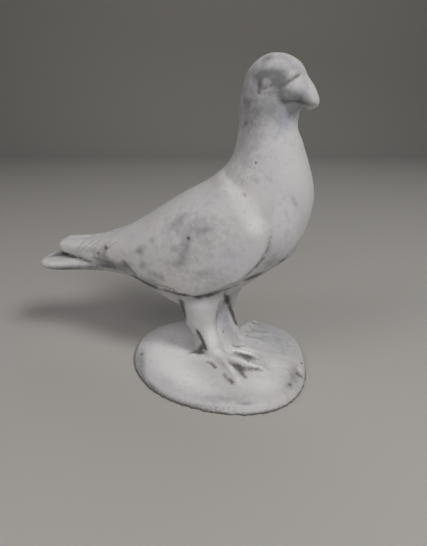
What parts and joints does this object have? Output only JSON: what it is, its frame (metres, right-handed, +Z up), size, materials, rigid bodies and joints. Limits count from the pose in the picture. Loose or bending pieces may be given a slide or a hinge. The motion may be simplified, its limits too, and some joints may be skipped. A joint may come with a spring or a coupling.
{
  "type": "dove statue",
  "caption": "Standing dove with folded wings and an upright head, cast in white plaster in one piece with its low domed base.",
  "frame": {"origin": "on the base's flat underside, straight below the bird's middle plane and between its feet", "axes": "+X towards the beak, +Y towards the bird's left, +Z up"},
  "size_m": [0.1689, 0.1039, 0.1798],
  "materials": {
    "white_plaster": "matte"
  },
  "bodies": {
    "root": {"dove": "white_plaster"}
  },
  "joints": []
}
